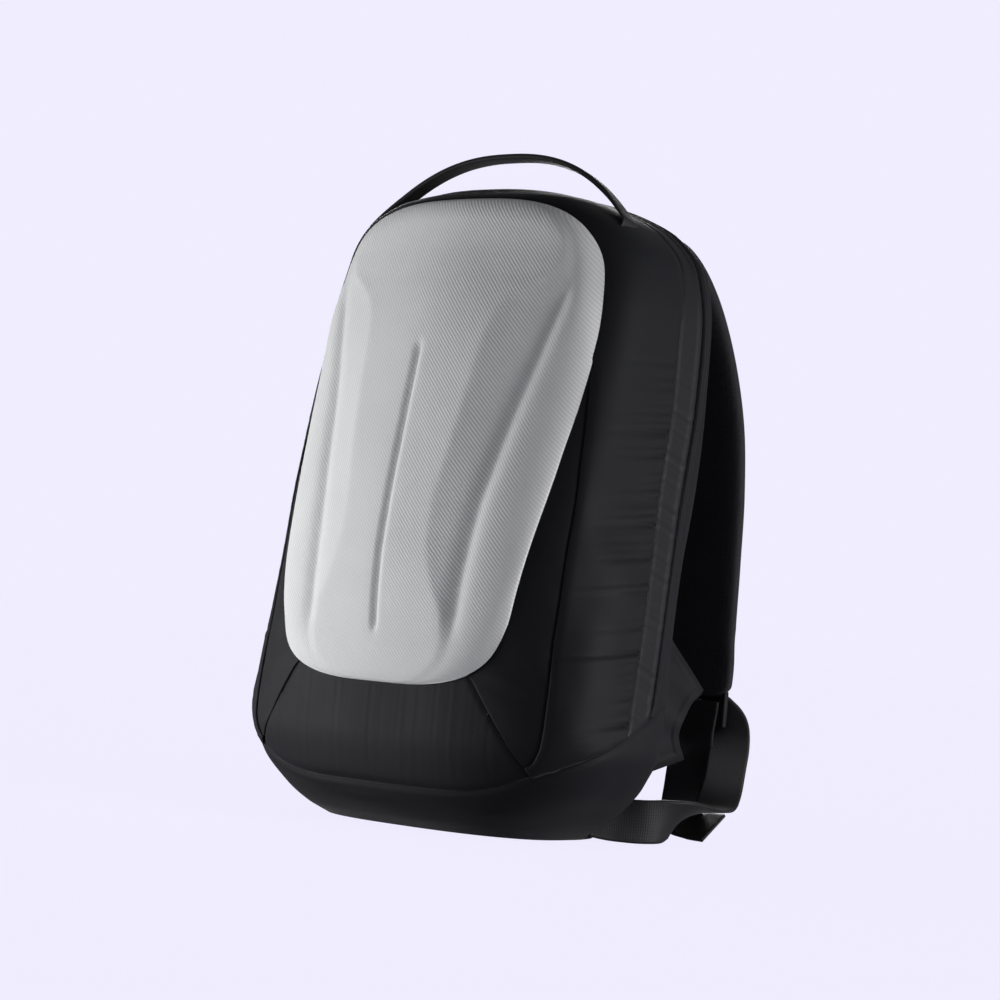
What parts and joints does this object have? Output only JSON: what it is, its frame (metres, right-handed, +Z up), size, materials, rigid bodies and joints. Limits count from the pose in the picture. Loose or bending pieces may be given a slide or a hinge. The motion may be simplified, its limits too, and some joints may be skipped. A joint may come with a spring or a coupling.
{
  "type": "backpack",
  "caption": "Upright backpack with a moulded relief front shell, wrapped base, arched zip, webbing carry handle and padded shoulder straps with free webbing tails.",
  "frame": {"origin": "on the flat underside of the base, on the mirror plane, below the middle of the pack's top", "axes": "+Z up, +X to the right seen from the front shell, -Y towards the front shell, +Y towards the wearer's back"},
  "size_m": [0.3, 0.2816, 0.4737],
  "materials": {
    "grey_twill": "fine diagonal twill over a moulded shell, matt",
    "black_nylon": "fine plain-weave nylon, matt with a faint sheen",
    "black_webbing": "woven webbing, ribbed",
    "black_air_mesh": "padded knit air mesh, matt",
    "black_zip_tape": "zip tape with fine moulded teeth under a cloth lip",
    "black_acetal": "moulded buckle, satin"
  },
  "bodies": {
    "root": {"front_shell": "grey_twill", "front_apron": "black_nylon", "front_wedge_right": "black_nylon", "front_wedge_left": "black_nylon", "body_gusset": "black_nylon", "zip_tape": "black_zip_tape", "back_band": "black_nylon", "back_panel": "black_air_mesh", "base_boot": "black_nylon", "carry_handle": "black_webbing", "shoulder_strap_right": "black_air_mesh", "ladder_lock_right": "black_acetal", "anchor_webbing_right": "black_webbing", "strap_tail_right": "black_webbing", "side_wing_right": "black_nylon", "shoulder_strap_left": "black_air_mesh", "ladder_lock_left": "black_acetal", "anchor_webbing_left": "black_webbing", "strap_tail_left": "black_webbing", "side_wing_left": "black_nylon"}
  },
  "joints": []
}
